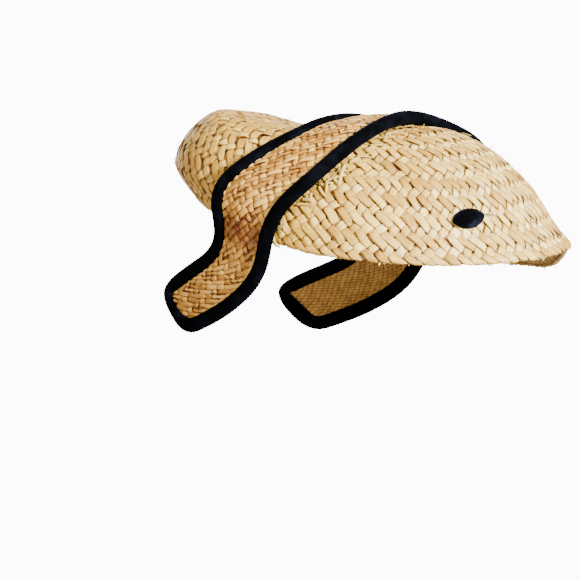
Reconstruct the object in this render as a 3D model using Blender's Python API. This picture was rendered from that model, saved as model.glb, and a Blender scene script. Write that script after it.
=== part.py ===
"""Straw half hat with a velvet-edged straw band over the crown.

Metres, +Z up. The origin is the centre of the opening that the hat is worn by, the front of the
hat looks along -Y, and +X is the wearer's left. The hat is modelled as it is worn.
"""

import math
from collections import namedtuple

import bmesh
import bpy
import numpy as np
from mathutils import Vector
from mathutils.bvhtree import BVHTree

# Driving sizes of the crown. Its top is a level ridge line from RIDGE_FRONT ahead of the origin to
# RIDGE_REAR behind it
HALF_WIDTH = 0.079
REAR_REACH = 0.107
FRONT_REACH = 0.104
CROWN_RISE = 0.065
RIDGE_FRONT = 0.030
RIDGE_REAR = 0.012
STRAW_WALL = 0.0020

# Driving sizes of the band and its velvet binding. BAND_BELLY is how far the strip's middle stands
# out from its edges, and BAND_ASKEW how much further back the band runs high on the right side
BAND_WALL = 0.0018
BAND_BELLY = 0.0015
BAND_ASKEW = 0.020
BINDING_WIDTH = 0.0086
BINDING_THICKNESS = 0.0072
TAB_CORNER_CUT = 0.0022

# Driving sizes of the velvet button. Its place is an angle from the front and a share of the way
# down the crown; BUTTON_POINT is 0 for an ellipse and more for sharper ends
BUTTON_LENGTH = 0.018
BUTTON_WIDTH = 0.0105
BUTTON_HEIGHT = 0.0045
BUTTON_ANGLE = 142.4
BUTTON_DOWN = 0.775
BUTTON_TILT = 12.0
BUTTON_POINT = 0.35

# Gap kept between two solids that touch on the real hat
CLEARANCE = 0.0004

# Fineness of the facets
CROWN_COLUMNS = 56
CROWN_ROWS = 15
BAND_STEPS = 48
BAND_COLUMNS = 5
BINDING_STEP = 0.0060
BINDING_SIDES = 8
BUTTON_COLUMNS = 20
BUTTON_ROWS = 5

# Angles from the front at which the rolled front fades out, and at which the back begins
ROLL_FULL_TO = 8.0
ROLL_GONE_AT = 76.0
REAR_FROM = 88.0
REAR_FULL_FROM = 150.0

# Height of the rim round the opening, as a share of CROWN_RISE above the origin.
# angle: degrees from the front, positive towards the wearer's left
RimPoint = namedtuple("RimPoint", "angle height")
RIM = [
    RimPoint(-180, -0.031),
    RimPoint(-155, 0.031),
    RimPoint(-135, -0.128),
    RimPoint(-115, -0.113),
    RimPoint(-90, -0.031),
    RimPoint(-60, 0.186),
    RimPoint(-30, 0.392),
    RimPoint(0, 0.464),
    RimPoint(30, 0.412),
    RimPoint(60, 0.206),
    RimPoint(90, -0.041),
    RimPoint(115, -0.124),
    RimPoint(135, -0.134),
    RimPoint(155, -0.103),
    RimPoint(180, -0.031),
]

# Profile of the crown from its top, down = 0, to its rim, down = 1, at the front, side and rear.
# out: share of the way from the ridge line out to the rim; up: share of the rise from rim to top
Profile = namedtuple("Profile", "down front_out front_up side_out side_up rear_out rear_up")
PROFILE = [
    Profile(0.00, 0.00, 1.00, 0.00, 1.000, 0.00, 1.000),
    Profile(0.15, 0.20, 1.08, 0.24, 0.975, 0.21, 0.993),
    Profile(0.30, 0.44, 1.15, 0.46, 0.915, 0.42, 0.900),
    Profile(0.45, 0.70, 1.33, 0.66, 0.790, 0.60, 0.725),
    Profile(0.60, 0.91, 1.35, 0.81, 0.620, 0.74, 0.525),
    Profile(0.75, 1.13, 0.95, 0.915, 0.420, 0.83, 0.340),
    Profile(0.88, 1.20, 0.475, 0.97, 0.205, 0.90, 0.165),
    Profile(1.00, 1.00, 0.00, 1.00, 0.000, 1.00, 0.000),
]

# Centre lines of the band's two bound edges on the wearer's left, from the top of the crown down
# to the end of the tab. x: share of HALF_WIDTH; y: share of FRONT_REACH in front of the origin
# and of REAR_REACH behind it; z: share of CROWN_RISE
BandSection = namedtuple("BandSection", "front_x front_y front_z rear_x rear_y rear_z")
BAND = [
    BandSection(0.00, -0.15, 1.05, 0.00, 0.18, 1.06),
    BandSection(0.30, -0.15, 1.031, 0.28, 0.18, 1.041),
    BandSection(0.59, -0.20, 0.928, 0.67, 0.18, 0.886),
    BandSection(0.73, -0.29, 0.814, 0.86, 0.11, 0.711),
    BandSection(0.82, -0.39, 0.68, 0.96, 0.03, 0.546),
    BandSection(0.87, -0.48, 0.577, 1.01, -0.06, 0.423),
    BandSection(0.90, -0.54, 0.474, 1.04, -0.13, 0.309),
    BandSection(0.91, -0.54, 0.34, 1.04, -0.19, 0.155),
    BandSection(0.92, -0.52, 0.216, 1.03, -0.21, 0.021),
    BandSection(0.91, -0.51, 0.072, 1.03, -0.22, -0.103),
    BandSection(0.89, -0.575, -0.062, 1.01, -0.28, -0.268),
    BandSection(0.85, -0.70, -0.155, 0.97, -0.40, -0.402),
    BandSection(0.79, -0.82, -0.237, 0.91, -0.54, -0.515),
    BandSection(0.73, -0.935, -0.345, 0.82, -0.77, -0.639),
]


def ease(share):
    """0 to 1 with a soft start and a soft end."""
    share = min(max(share, 0.0), 1.0)
    return share * share * (3.0 - 2.0 * share)


def along(table, key, column, place):
    """Value of a table's column at a place between its rows, on a smooth curve through them."""
    keys = [getattr(row, key) for row in table]
    values = [getattr(row, column) for row in table]
    slopes = np.gradient(values, keys)
    low = min(max(int(np.searchsorted(keys, place)) - 1, 0), len(keys) - 2)
    span = keys[low + 1] - keys[low]
    s = (place - keys[low]) / span
    return (
        (2 * s**3 - 3 * s**2 + 1) * values[low]
        + (s**3 - 2 * s**2 + s) * span * slopes[low]
        + (3 * s**2 - 2 * s**3) * values[low + 1]
        + (s**3 - s**2) * span * slopes[low + 1]
    )


def crown_point(angle, down):
    """Point of the crown's outer face: angle in degrees from the front, down from the top."""
    angle = (angle + 180.0) % 360.0 - 180.0
    turn = math.radians(angle)
    front = ease((ROLL_GONE_AT - abs(angle)) / (ROLL_GONE_AT - ROLL_FULL_TO))
    rear = ease((abs(angle) - REAR_FROM) / (REAR_FULL_FROM - REAR_FROM))
    side = 1.0 - front - rear
    out = up = 0.0
    for share, name in ((front, "front"), (side, "side"), (rear, "rear")):
        out += share * along(PROFILE, "down", name + "_out", down)
        up += share * along(PROFILE, "down", name + "_up", down)
    forward = math.cos(turn)
    reach, ridge = (FRONT_REACH, RIDGE_FRONT) if forward > 0 else (REAR_REACH, RIDGE_REAR)
    rim_z = CROWN_RISE * along(RIM, "angle", "height", angle)
    return Vector(
        (
            HALF_WIDTH * math.sin(turn) * out,
            -forward * (ridge + (reach - ridge) * out),
            rim_z + (CROWN_RISE - rim_z) * up,
        )
    )


def crown_normal(angle, down):
    """Outward direction of the crown's outer face."""
    step_angle, step_down = 0.5, 0.004
    round_it = crown_point(angle + step_angle, down) - crown_point(angle - step_angle, down)
    down_it = crown_point(angle, down + step_down) - crown_point(angle, down - step_down)
    return down_it.cross(round_it).normalized()


def band_edge(section, side, name):
    """Centre of one binding at a section; side is 1 on the wearer's left and -1 on the right.

    The band sits a little askew: high on the right side it runs further back.
    """
    x, y, z = (getattr(section, f"{name}_{axis}") for axis in "xyz")
    reach = FRONT_REACH if y < 0 else REAR_REACH
    askew = BAND_ASKEW * x * ease(0.25 + z / 1.2) if side < 0 else 0.0
    return Vector((side * x * HALF_WIDTH, y * reach + askew, z * CROWN_RISE))


def cut_corners(points, closed):
    """One pass of corner cutting, which leads to a smooth curve."""
    made = [] if closed else [points[0]]
    last = len(points) if closed else len(points) - 1
    for i in range(last):
        here, there = points[i], points[(i + 1) % len(points)]
        made += [here.lerp(there, 0.25), here.lerp(there, 0.75)]
    return made if closed else made + [points[-1]]


def evenly(points, count, closed=False):
    """count points at equal distances along a line of points; a closed line isn't repeated."""
    line = points + [points[0]] if closed else points
    lengths = [0.0]
    for here, there in zip(line, line[1:]):
        lengths.append(lengths[-1] + (there - here).length)
    steps = count if closed else count - 1
    stations = [lengths[-1] * i / steps for i in range(count)]
    return [Vector(np.interp(s, lengths, [p[k] for p in line]) for k in range(3)) for s in stations]


def smooth_line(points, closed=False, passes=3):
    """Smooth curve that follows a few chosen points."""
    for _ in range(passes):
        points = cut_corners(points, closed)
    return points


def new_object(name, bm, material):
    """Mesh object with its faces pointing out and its round faces shaded smooth."""
    bmesh.ops.recalc_face_normals(bm, faces=bm.faces[:])
    mesh = bpy.data.meshes.new(name)
    bm.to_mesh(mesh)
    bm.free()
    mesh.materials.append(material)
    mesh.shade_smooth()
    mesh.set_sharp_from_angle(angle=math.radians(50))
    made = bpy.data.objects.new(name, mesh)
    bpy.context.scene.collection.objects.link(made)
    return made


def ring_of(bm, points):
    """Closed loop of edges through the points, for bridging."""
    verts = [bm.verts.new(p) for p in points]
    return [bm.edges.new((a, b)) for a, b in zip(verts, verts[1:] + verts[:1])]


def thicken(made, wall):
    """Gives a sheet its wall, on the inner side of the modelled face."""
    solid = made.modifiers.new("wall", "SOLIDIFY")
    solid.thickness = wall
    solid.offset = -1
    solid.use_even_offset = True


def crown_sheet():
    """The crown's outer face, from the ridge line on top down to the rim."""
    bm = bmesh.new()
    rings = []
    for row in range(1, CROWN_ROWS + 1):
        down = row / CROWN_ROWS
        angles = (360.0 * column / CROWN_COLUMNS for column in range(CROWN_COLUMNS))
        rings.append(ring_of(bm, [crown_point(angle, down) for angle in angles]))
    for upper, lower in zip(rings, rings[1:]):
        bmesh.ops.bridge_loops(bm, edges=upper + lower)
    close_top(bm, rings[0])
    return bm


def close_top(bm, ring):
    """Closes the top with faces from the first ring to the ridge line."""
    verts = []
    for edge in ring:
        verts += [v for v in edge.verts if v not in verts]
    half = CROWN_COLUMNS // 2
    ridge = [bm.verts.new(crown_point(360.0 * i / CROWN_COLUMNS, 0.0)) for i in range(half + 1)]
    for i in range(CROWN_COLUMNS):
        here, there = (min(k, CROWN_COLUMNS - k) for k in (i, i + 1))
        corners = [verts[i], verts[(i + 1) % CROWN_COLUMNS], ridge[there], ridge[here]]
        bm.faces.new(corners)


def make_crown(material):
    """Straw shell of the crown, open below."""
    made = new_object("crown", crown_sheet(), material)
    thicken(made, STRAW_WALL)
    return made


def crown_tree():
    """The crown's outer face, for seating other pieces on it."""
    bm = crown_sheet()
    bmesh.ops.recalc_face_normals(bm, faces=bm.faces[:])
    tree = BVHTree.FromBMesh(bm)
    bm.free()
    return tree


def seat(tree, point, gap):
    """Moves a point out from the crown until it's at least gap away from its outer face.

    A point that is nearest to the rim's edge, below the crown, stays where it is.
    """
    place, normal, _, distance = tree.find_nearest(point)
    outward = (point - place).dot(normal)
    beside_face = abs(outward) > distance / 2
    if beside_face and outward < gap:
        return place + normal * gap
    return point


def band_sides(tree):
    """Centre lines of the front and rear bindings, from the right tab's end to the left tab's."""
    gap = max(BINDING_WIDTH, BINDING_THICKNESS) / 2 + CLEARANCE
    lines = []
    for name in ("front", "rear"):
        right = [band_edge(section, -1, name) for section in reversed(BAND[1:])]
        left = [band_edge(section, 1, name) for section in BAND]
        line = evenly(smooth_line(right + left), BAND_STEPS + 1)
        lines.append([seat(tree, point, gap) for point in line])
    return lines


def direction_at(line, step):
    """Direction of an open line of points at one of them."""
    return (line[min(step + 1, len(line) - 1)] - line[max(step - 1, 0)]).normalized()


def make_band(tree, material):
    """The straw strip between the two bindings."""
    inset = BINDING_WIDTH / 2 + CLEARANCE
    front, rear = band_sides(tree)
    bm = bmesh.new()
    grid = []
    for step, (fore, aft) in enumerate(zip(front, rear)):
        across = (aft - fore).normalized()
        fore_way, aft_way = direction_at(front, step), direction_at(rear, step)
        outward = (fore_way + aft_way).cross(across).normalized()
        fore_margin = inset / fore_way.cross(across).length
        aft_margin = inset / aft_way.cross(across).length
        if step in (0, BAND_STEPS):
            inward = across.cross(outward) * (-1.0 if step else 1.0) * inset
            fore, aft = fore + inward, aft + inward
            fore_margin += TAB_CORNER_CUT
            aft_margin += TAB_CORNER_CUT
        low, high = fore + across * fore_margin, aft - across * aft_margin
        line = []
        for column in range(BAND_COLUMNS + 1):
            share = column / BAND_COLUMNS
            belly = BAND_BELLY * 4.0 * share * (1.0 - share)
            place = low.lerp(high, share) + outward * (belly + BAND_WALL / 2)
            line.append(bm.verts.new(seat(tree, place, BAND_WALL + CLEARANCE)))
        grid.append(line)
    for near, far in zip(grid, grid[1:]):
        for i in range(BAND_COLUMNS):
            bm.faces.new((near[i], near[i + 1], far[i + 1], far[i]))
    made = new_object("band", bm, material)
    thicken(made, BAND_WALL)
    return made


def binding_route(front, rear):
    """The closed line that the velvet binding follows round the band."""
    loop = smooth_line(front + rear[::-1], closed=True, passes=1)
    length = sum((b - a).length for a, b in zip(loop, loop[1:] + loop[:1]))
    return evenly(loop, round(length / BINDING_STEP), closed=True)


def band_normal_at(place, front, rear):
    """Outward direction of the band beside a point of its binding."""
    distances = [min((a - place).length, (b - place).length) for a, b in zip(front, rear)]
    nearest = distances.index(min(distances))
    low, high = max(nearest - 1, 0), min(nearest + 1, len(front) - 1)
    ahead = front[high] + rear[high] - front[low] - rear[low]
    return ahead.cross(rear[nearest] - front[nearest]).normalized()


def make_binding(tree, material):
    """Padded velvet welt round the whole band, one closed loop of oval section."""
    front, rear = band_sides(tree)
    route = binding_route(front, rear)
    count = len(route)
    normals = [band_normal_at(place, front, rear) for place in route]
    bm = bmesh.new()
    rings = []
    for i, place in enumerate(route):
        ahead = (route[(i + 1) % count] - route[i - 1]).normalized()
        outward = sum((normals[(i + k) % count] for k in (-2, -1, 0, 1, 2)), Vector())
        outward = (outward - ahead * outward.dot(ahead)).normalized()
        across = outward.cross(ahead)
        ring = []
        for side in range(BINDING_SIDES):
            turn = 2.0 * math.pi * side / BINDING_SIDES
            ring.append(
                place
                + across * (math.cos(turn) * BINDING_WIDTH / 2)
                + outward * (math.sin(turn) * BINDING_THICKNESS / 2)
            )
        rings.append([bm.verts.new(p) for p in ring])
    for i in range(count):
        near, far = rings[i], rings[(i + 1) % count]
        for k in range(BINDING_SIDES):
            j = (k + 1) % BINDING_SIDES
            bm.faces.new((near[k], near[j], far[j], far[k]))
    return new_object("band_binding", bm, material)


def make_button(material):
    """Velvet-covered oval button on the wearer's left, a flat-backed dome seated on the straw."""
    normal = crown_normal(BUTTON_ANGLE, BUTTON_DOWN)
    level = Vector((0, 0, 1)).cross(normal).normalized()
    tilt = math.radians(BUTTON_TILT)
    long_way = level * math.cos(tilt) + normal.cross(level) * math.sin(tilt)
    short_way = normal.cross(long_way)
    base = crown_point(BUTTON_ANGLE, BUTTON_DOWN) + normal * CLEARANCE
    bm = bmesh.new()
    rings = []
    for row in range(BUTTON_ROWS):
        rise = math.radians(90.0 * row / BUTTON_ROWS)
        ring = []
        for column in range(BUTTON_COLUMNS):
            turn = 2.0 * math.pi * column / BUTTON_COLUMNS
            long_share = math.cos(turn) * math.cos(rise)
            short_share = math.sin(turn) * abs(math.sin(turn)) ** BUTTON_POINT * math.cos(rise)
            ring.append(
                base
                + long_way * (long_share * BUTTON_LENGTH / 2)
                + short_way * (short_share * BUTTON_WIDTH / 2)
                + normal * (math.sin(rise) * BUTTON_HEIGHT)
            )
        rings.append(ring_of(bm, ring))
    for lower, upper in zip(rings, rings[1:]):
        bmesh.ops.bridge_loops(bm, edges=lower + upper)
    bmesh.ops.contextual_create(bm, geom=rings[0])
    top = bmesh.ops.contextual_create(bm, geom=rings[-1])["faces"]
    bmesh.ops.poke(bm, faces=top)
    return new_object("side_button", bm, material)


def finish_of(name, colour, roughness):
    """Material with a plain colour and roughness."""
    made = bpy.data.materials.new(name)
    made.use_nodes = True
    shader = made.node_tree.nodes["Principled BSDF"]
    shader.inputs["Base Color"].default_value = (*colour, 1.0)
    shader.inputs["Roughness"].default_value = roughness
    shader.inputs["Metallic"].default_value = 0.0
    return made


def main():
    for left_over in list(bpy.data.objects):
        bpy.data.objects.remove(left_over)
    straw = finish_of("natural_straw", (0.74, 0.60, 0.38), 0.6)
    band_straw = finish_of("toasted_straw", (0.66, 0.48, 0.27), 0.6)
    velvet = finish_of("black_velvet", (0.008, 0.008, 0.013), 0.9)
    make_crown(straw)
    tree = crown_tree()
    make_band(tree, band_straw)
    make_binding(tree, velvet)
    make_button(velvet)


main()
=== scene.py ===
"""Looks of the straw half hat: woven straw crown and band, velvet binding and button.

Metres, +Z up, the front of the hat looks along -Y and +X is the wearer's left, as in the frame.
"""

import math
import random
from collections import namedtuple

import bmesh
import bpy
import numpy as np
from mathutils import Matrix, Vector
from mathutils.bvhtree import BVHTree


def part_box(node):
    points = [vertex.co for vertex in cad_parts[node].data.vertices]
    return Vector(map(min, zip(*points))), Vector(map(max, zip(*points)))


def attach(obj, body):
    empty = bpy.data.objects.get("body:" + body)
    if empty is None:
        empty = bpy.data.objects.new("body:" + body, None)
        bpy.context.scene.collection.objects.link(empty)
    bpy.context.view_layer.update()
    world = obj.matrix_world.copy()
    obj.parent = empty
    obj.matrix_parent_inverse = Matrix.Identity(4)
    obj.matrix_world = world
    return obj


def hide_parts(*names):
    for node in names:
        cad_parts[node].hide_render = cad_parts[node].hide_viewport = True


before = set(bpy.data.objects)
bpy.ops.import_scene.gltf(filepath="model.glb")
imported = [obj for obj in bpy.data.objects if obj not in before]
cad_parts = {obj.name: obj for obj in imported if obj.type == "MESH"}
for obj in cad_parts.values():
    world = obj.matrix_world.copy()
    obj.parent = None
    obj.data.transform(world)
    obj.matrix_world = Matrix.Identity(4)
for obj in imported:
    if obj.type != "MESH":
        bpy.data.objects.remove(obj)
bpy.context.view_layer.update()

# The photograph's view: the camera is level and looks at the hat's left side from behind
PHOTO_PIXELS = 580
METRES_PER_PIXEL = 0.00053
VIEW_TURN = 31.0
VIEW_DISTANCE = 1.4
ORIGIN_PIXEL_X = 380
ORIGIN_PIXEL_Y = 250
SENSOR_WIDTH = 36.0

# Crown plait. Straws run both ways round the crown and cross at every step. A falling straw lies
# over two crossings and under one, and a rising straw over one and under two
CROWN_STEPS = 34.0
CROWN_STRAW_FILL = 0.97
CROWN_STRAW_THICKNESS = 0.00045
CROWN_LIFT = 0.00048
CROWN_DEPTH = 0.0008
FLOAT_BULGE = 0.00026
CUPPING = 0.00008
FLOAT_TURN = 0.30
FLOAT_LEAN = 0.00062
RIM_STEP = -0.35
RIM_TURNED_IN = 1.3
RIM_FOLD_DEPTH = 0.0012
RING_END_DIP = 0.0007
FAN_NARROWING = 0.24
FRONT_FROM = 0.048
FRONT_BLEND = 0.02
LINING_DEPTH = 0.0021
CLOTH_THICKNESS = 0.0003

# Rings of the plait, with fewer straws near the top. start and stop are in steps from the rim,
# and straws is how many go each way
Ring = namedtuple("Ring", "name start stop straws")
CROWN_RINGS = [
    Ring("rim", RIM_STEP - RIM_TURNED_IN, 13.6, 88),
    Ring("middle", 12.9, 20.6, 66),
    Ring("upper", 19.9, 26.6, 44),
    Ring("top", 25.9, 33.0, 22),
]
CROWN_CENTRE_SHARE = 0.22

# A straw's mark darkens its edges and dips up to this value, which paints shade there, and above it
# dots the straw with stitches
EDGE_MARK = 0.54

# Band plait, finer than the crown's
BAND_STEP = 0.0027
BAND_STRAW_FILL = 0.95
BAND_STRAW_THICKNESS = 0.00035
BAND_LIFT = 0.00036
BAND_DEPTH = 0.0005
BAND_BULGE = 0.00016
BAND_CUPPING = 0.00008
BAND_LEAN = 0.00030
BAND_EDGE_WIDTH = 0.0030
BAND_EDGE_BLEND = 0.0012
BAND_UNDER_VELVET = 0.0028
TAB_UNDER_VELVET = 0.0068
# Place and reach of the painted shade at the band's narrow waist
WAIST_PLACE = (0.0755, -0.038, 0.009)
WAIST_LENGTH = 0.012
BACKING_DEPTH = 0.0013
KNOT_SPACING = 0.017
KNOT_REACH = 0.0064
KNOT_LANE = 0.0075

# Loose ends of straw beside the velvet, along the rim and as stray fibres on the crown
Loose = namedtuple("Loose", "start heading aside length width lift hugs")
ENDS_BY_VELVET = 30
ENDS_AT_RIM = 40
STRAY_FIBRES = 110
LOOSE_THICKNESS = 0.00022
LOOSE_STEP = 0.0028
LOOSE_SEED = 11

# Edges of the band on the wearer's left, from the middle of the top down to the tab, as shares of
# the crown's half width, of its reach to the front or rear, and of its rise
HALF_WIDTH = 0.079
REAR_REACH = 0.107
FRONT_REACH = 0.104
CROWN_RISE = 0.065
BAND_ASKEW = 0.020
BandEdges = namedtuple("BandEdges", "front_x front_y front_z rear_x rear_y rear_z")
BAND_ROWS = [
    (0.00, -0.15, 1.05, 0.00, 0.18, 1.06),
    (0.30, -0.15, 1.031, 0.28, 0.18, 1.041),
    (0.59, -0.20, 0.928, 0.67, 0.18, 0.886),
    (0.73, -0.29, 0.814, 0.86, 0.11, 0.711),
    (0.82, -0.39, 0.68, 0.96, 0.03, 0.546),
    (0.87, -0.48, 0.577, 1.01, -0.06, 0.423),
    (0.90, -0.54, 0.474, 1.04, -0.13, 0.309),
    (0.91, -0.54, 0.34, 1.04, -0.19, 0.155),
    (0.92, -0.52, 0.216, 1.03, -0.21, 0.021),
    (0.91, -0.51, 0.072, 1.03, -0.22, -0.103),
    (0.89, -0.575, -0.062, 1.01, -0.28, -0.268),
    (0.85, -0.70, -0.155, 0.97, -0.40, -0.402),
    (0.79, -0.82, -0.237, 0.91, -0.54, -0.515),
    (0.73, -0.935, -0.345, 0.82, -0.77, -0.639),
]
BAND = [BandEdges(*row) for row in BAND_ROWS]

# Light
SKY_STRENGTH = 0.64
CEILING_STRENGTH = 0.35
BACKDROP_STRENGTH = 12.0
FLOOR_HEIGHT = -2.0
FLOOR_RADIUS = 14.0

# Velvet
VELVET_PROUD = 0.0002
# Reach of the velvet lint and painted shadow on the straw beside the binding
VELVET_LINT_AND_SHADOW = 0.0034
BUTTON_LENGTH = 0.018
BUTTON_WIDTH = 0.0108
BUTTON_HEIGHT = 0.0048
BUTTON_TILT = 12.0
BUTTON_POINT = 0.35
BUTTON_BACK = 0.0006
BUTTON_LIFT = 0.0004
THREAD_LENGTH = 0.0064
THREAD_RADIUS = 0.00028
THREAD_STEPS = 12


def smooth_step(share):
    """0 to 1 with a soft start and a soft end."""
    share = min(max(share, 0.0), 1.0)
    return share * share * (3.0 - 2.0 * share)


class Sheet:
    """A smooth surface sampled on a grid, read at any place between its samples.

    places[row][column] are points, and a closed sheet's columns run all the way round.
    """

    def __init__(self, places, closed, smoothing=2):
        self.places = np.array(places, float)
        self.closed = closed
        for _ in range(smoothing):
            self.places = self.averaged(self.places)
        self.normals = self.face_out()

    def averaged(self, field):
        """Each sample moved a little towards the mean of its neighbours."""
        made = field.copy()
        made[1:-1] = (field[:-2] + 2.0 * field[1:-1] + field[2:]) / 4.0
        if self.closed:
            return (np.roll(made, 1, 1) + 2.0 * made + np.roll(made, -1, 1)) / 4.0
        made[:, 1:-1] = (made[:, :-2] + 2.0 * made[:, 1:-1] + made[:, 2:]) / 4.0
        return made

    def face_out(self):
        """Unit normals of the samples."""
        up = np.gradient(self.places, axis=0)
        if self.closed:
            across = (np.roll(self.places, -1, 1) - np.roll(self.places, 1, 1)) / 2.0
        else:
            across = np.gradient(self.places, axis=1)
        normals = np.cross(across, up)
        normals /= np.maximum(np.linalg.norm(normals, axis=2, keepdims=True), 1e-9)
        return normals

    def at(self, across, up):
        """Points and normals at arrays of places: shares of the way across and of the way up."""
        rows, columns = self.places.shape[:2]
        y = np.clip(up, 0.0, 1.0) * (rows - 1)
        low = np.minimum(y.astype(int), rows - 2)
        fy = (y - low)[:, None]
        if self.closed:
            x = (across % 1.0) * columns
            left = x.astype(int) % columns
            right = (left + 1) % columns
            fx = (x - x.astype(int))[:, None]
        else:
            x = np.clip(across, 0.0, 1.0) * (columns - 1)
            left = np.minimum(x.astype(int), columns - 2)
            right = left + 1
            fx = (x - left)[:, None]
        found = []
        for field in (self.places, self.normals):
            below = field[low, left] * (1 - fx) + field[low, right] * fx
            above = field[low + 1, left] * (1 - fx) + field[low + 1, right] * fx
            found.append(below * (1 - fy) + above * fy)
        found[1] /= np.linalg.norm(found[1], axis=1, keepdims=True)
        return found


def tree_of(name):
    """Search tree of a CAD node's surface."""
    bm = bmesh.new()
    bm.from_mesh(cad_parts[name].data)
    tree = BVHTree.FromBMesh(bm)
    bm.free()
    return tree


def reach_along(points):
    """Distance of each point from the first one, along a line of points."""
    return np.concatenate([[0.0], np.cumsum(np.linalg.norm(np.diff(points, axis=0), axis=1))])


def read_line(points, keys, wanted):
    """Points at the wanted keys of a line whose points are at rising keys."""
    return np.stack([np.interp(wanted, keys, points[:, k]) for k in range(3)], axis=1)


def along_line(points, count):
    """count points at equal distances along a line of points."""
    points = np.array(points, float)
    lengths = reach_along(points)
    return read_line(points, lengths, np.linspace(0.0, lengths[-1], count))


def new_object(name, data):
    """An object of the scene that holds a mesh, a light or a camera."""
    made = bpy.data.objects.new(name, data)
    bpy.context.scene.collection.objects.link(made)
    return made


def new_mesh_object(name, bm, material):
    """A finished bmesh as an object of the scene."""
    mesh = bpy.data.meshes.new(name)
    bm.to_mesh(mesh)
    bm.free()
    mesh.materials.append(material)
    return new_object(name, mesh)


def new_piece(name, bm, material):
    """A finished bmesh as a smooth piece of the hat."""
    piece = new_mesh_object(name, bm, material)
    for polygon in piece.data.polygons:
        polygon.use_smooth = True
    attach(piece, "root")
    return piece


# Materials

def node_group(name, inputs):
    """A group with no nodes yet that takes colours and numbers and puts out a surface pattern."""
    group = bpy.data.node_groups.new(name, "ShaderNodeTree")
    for label, value in inputs.items():
        kind = "NodeSocketColor" if isinstance(value, tuple) else "NodeSocketFloat"
        socket = group.interface.new_socket(name=label, in_out="INPUT", socket_type=kind)
        socket.default_value = value
    group.interface.new_socket(name="Color", in_out="OUTPUT", socket_type="NodeSocketColor")
    group.interface.new_socket(name="Roughness", in_out="OUTPUT", socket_type="NodeSocketFloat")
    group.interface.new_socket(name="Height", in_out="OUTPUT", socket_type="NodeSocketFloat")
    return group


class Nodes:
    """Short ways to place and join the nodes of one tree."""

    def __init__(self, tree):
        self.tree = tree

    def add(self, kind, **settings):
        node = self.tree.nodes.new(kind)
        for key, value in settings.items():
            setattr(node, key, value)
        return node

    def feed(self, socket, value):
        """Join a socket to another node's output, or give it a plain value."""
        if isinstance(value, bpy.types.NodeSocket):
            self.tree.links.new(value, socket)
        else:
            socket.default_value = value

    def maths(self, operation, first, second=0.0, third=0.0, clamp=False):
        node = self.add("ShaderNodeMath", operation=operation, use_clamp=clamp)
        for socket, value in zip(node.inputs, (first, second, third)):
            self.feed(socket, value)
        return node.outputs[0]

    def mix(self, share, first, second, blend="MIX"):
        node = self.add("ShaderNodeMix", data_type="RGBA", blend_type=blend, clamp_factor=True)
        self.feed(node.inputs["Factor"], share)
        self.feed(node.inputs[6], first)
        self.feed(node.inputs[7], second)
        return node.outputs[2]

    def ramp(self, value, low, high, start=0.0, stop=1.0):
        """A value brought smoothly from the range low..high to start..stop."""
        node = self.add("ShaderNodeMapRange", interpolation_type="SMOOTHSTEP", clamp=True)
        for label, number in (
            ("Value", value),
            ("From Min", low),
            ("From Max", high),
            ("To Min", start),
            ("To Max", stop),
        ):
            self.feed(node.inputs[label], number)
        return node.outputs[0]

    def noise(self, vector, scale, detail=2.0, roughness=0.5, distortion=0.0):
        node = self.add("ShaderNodeTexNoise")
        self.feed(node.inputs["Vector"], vector)
        self.feed(node.inputs["Scale"], scale)
        self.feed(node.inputs["Detail"], detail)
        self.feed(node.inputs["Roughness"], roughness)
        self.feed(node.inputs["Distortion"], distortion)
        return node.outputs[0]

    def split(self, vector):
        """The x, y and z sockets of a vector."""
        node = self.add("ShaderNodeSeparateXYZ")
        self.feed(node.inputs[0], vector)
        return node.outputs

    def attribute(self, name):
        return self.add("ShaderNodeAttribute", attribute_name=name).outputs["Fac"]

    def mixed_shader(self, share, first, second):
        node = self.add("ShaderNodeMixShader")
        for socket, value in zip(node.inputs, (share, first, second)):
            self.feed(socket, value)
        return node.outputs[0]

    def bump(self, height, strength, distance):
        node = self.add("ShaderNodeBump")
        node.inputs["Strength"].default_value = strength
        node.inputs["Distance"].default_value = distance
        self.feed(node.inputs["Height"], height)
        return node.outputs[0]

    def put_out(self, **outputs):
        """Give the group's outputs their values."""
        node = self.add("NodeGroupOutput")
        for label, value in outputs.items():
            self.feed(node.inputs[label], value)

    def stretched(self, vector, scale):
        node = self.add("ShaderNodeMapping", vector_type="POINT")
        self.feed(node.inputs["Vector"], vector)
        node.inputs["Scale"].default_value = scale
        return node.outputs[0]


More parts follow.
